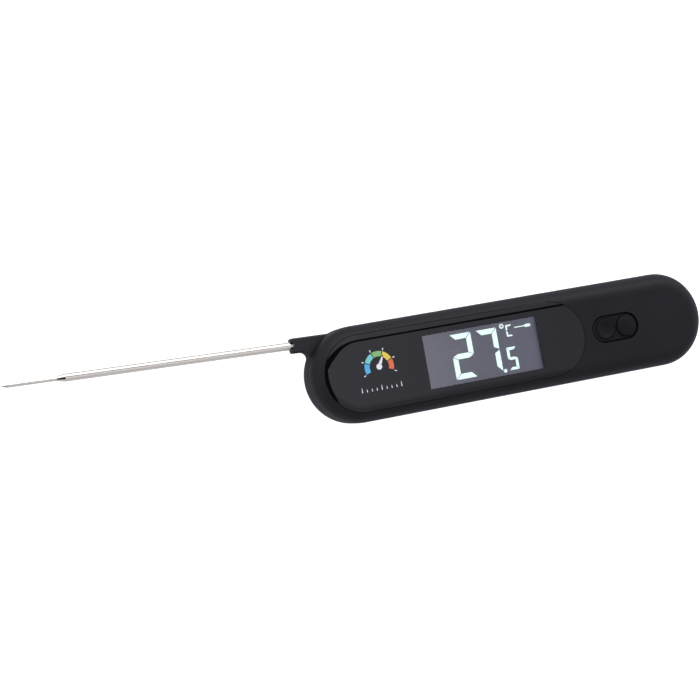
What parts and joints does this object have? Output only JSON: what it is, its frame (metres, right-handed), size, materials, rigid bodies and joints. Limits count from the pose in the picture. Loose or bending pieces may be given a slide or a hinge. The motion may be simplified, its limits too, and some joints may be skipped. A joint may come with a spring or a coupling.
{
  "type": "folding meat thermometer",
  "caption": "Pocket meat thermometer with a rounded slab body, lit display under a glossy window, key pad and a stepped steel needle that folds into a side groove.",
  "frame": {"origin": "centre of the body's flat back face, without the needle", "axes": "+X along the body from the hinge end to the key end, +Y across the body away from the stow groove, +Z out of the display"},
  "size_m": [0.2796, 0.0377, 0.0193],
  "materials": {
    "shell_plastic": "fine satin spark texture",
    "arm_plastic": "satin moulded plastic",
    "seal_rubber": "soft silicone",
    "key_rubber": "matt silicone",
    "window_acrylic": "polished clear acrylic, tinted dark by the print behind it",
    "black_print": "black print on the back of the window",
    "display_glass": "lit display glass, grey",
    "lit_segments": "bright mint white",
    "diffuser": "translucent white",
    "board_laminate": "green solder mask",
    "zinc_steel": "plated steel",
    "chip_epoxy": "moulded epoxy",
    "ceramic": "ceramic",
    "switch_plastic": "moulded plastic",
    "nickel": "bright nickel plate",
    "stainless": "polished stainless tube",
    "bead_glass": "amber resin",
    "wire_enamel": "enamelled wire"
  },
  "bodies": {
    "housing": {"front_shell": "shell_plastic", "back_shell": "shell_plastic", "shell_gasket": "seal_rubber", "window_lens": "window_acrylic", "lens_mask": "black_print", "lcd_glass": "display_glass", "lcd_segments": "lit_segments", "light_guide": "diffuser", "backlight_leds": "diffuser", "zebra_strip": "seal_rubber", "circuit_board": "board_laminate", "board_screws": "zinc_steel", "chips": "chip_epoxy", "chip_capacitors": "ceramic", "crystal": "zinc_steel", "fold_sensor": "chip_epoxy", "key_switches": "switch_plastic", "key_bed": "key_rubber", "button_cell": "nickel", "cell_spring": "nickel", "cell_clip": "nickel", "back_magnets": "nickel", "shell_screws": "zinc_steel", "hinge_screw": "zinc_steel", "friction_washer": "zinc_steel", "hub_seal": "seal_rubber", "body_leads": "wire_enamel"},
    "probe": {"probe_arm": "arm_plastic", "hub_magnet": "nickel", "probe_shaft": "stainless", "probe_tip": "stainless", "thermistor_bead": "bead_glass", "tip_potting": "bead_glass", "probe_leads": "wire_enamel"},
    "left_button": {"left_key": "key_rubber", "left_plunger": "switch_plastic"},
    "right_button": {"right_key": "key_rubber", "right_plunger": "switch_plastic"},
    "door": {"battery_door": "shell_plastic", "door_seal": "seal_rubber"}
  },
  "joints": [
    {"name": "probe_hinge", "type": "hinge", "parent": "housing", "child": "probe", "pos_m": [-0.065, 0, 0.0054], "axis": [0, 0, 1], "range_deg": [0, 181.85]},
    {"name": "left_key_press", "type": "slide", "parent": "housing", "child": "left_button", "axis": [0, 0, -1], "range_m": [0, 0.0006], "stiffness_N_per_m": 2000},
    {"name": "right_key_press", "type": "slide", "parent": "housing", "child": "right_button", "axis": [0, 0, -1], "range_m": [0, 0.0006], "stiffness_N_per_m": 2000},
    {"name": "door_twist", "type": "hinge", "parent": "housing", "child": "door", "pos_m": [0.044, 0.0022, 0], "axis": [0, 0, -1], "range_deg": [0, 60]}
  ]
}
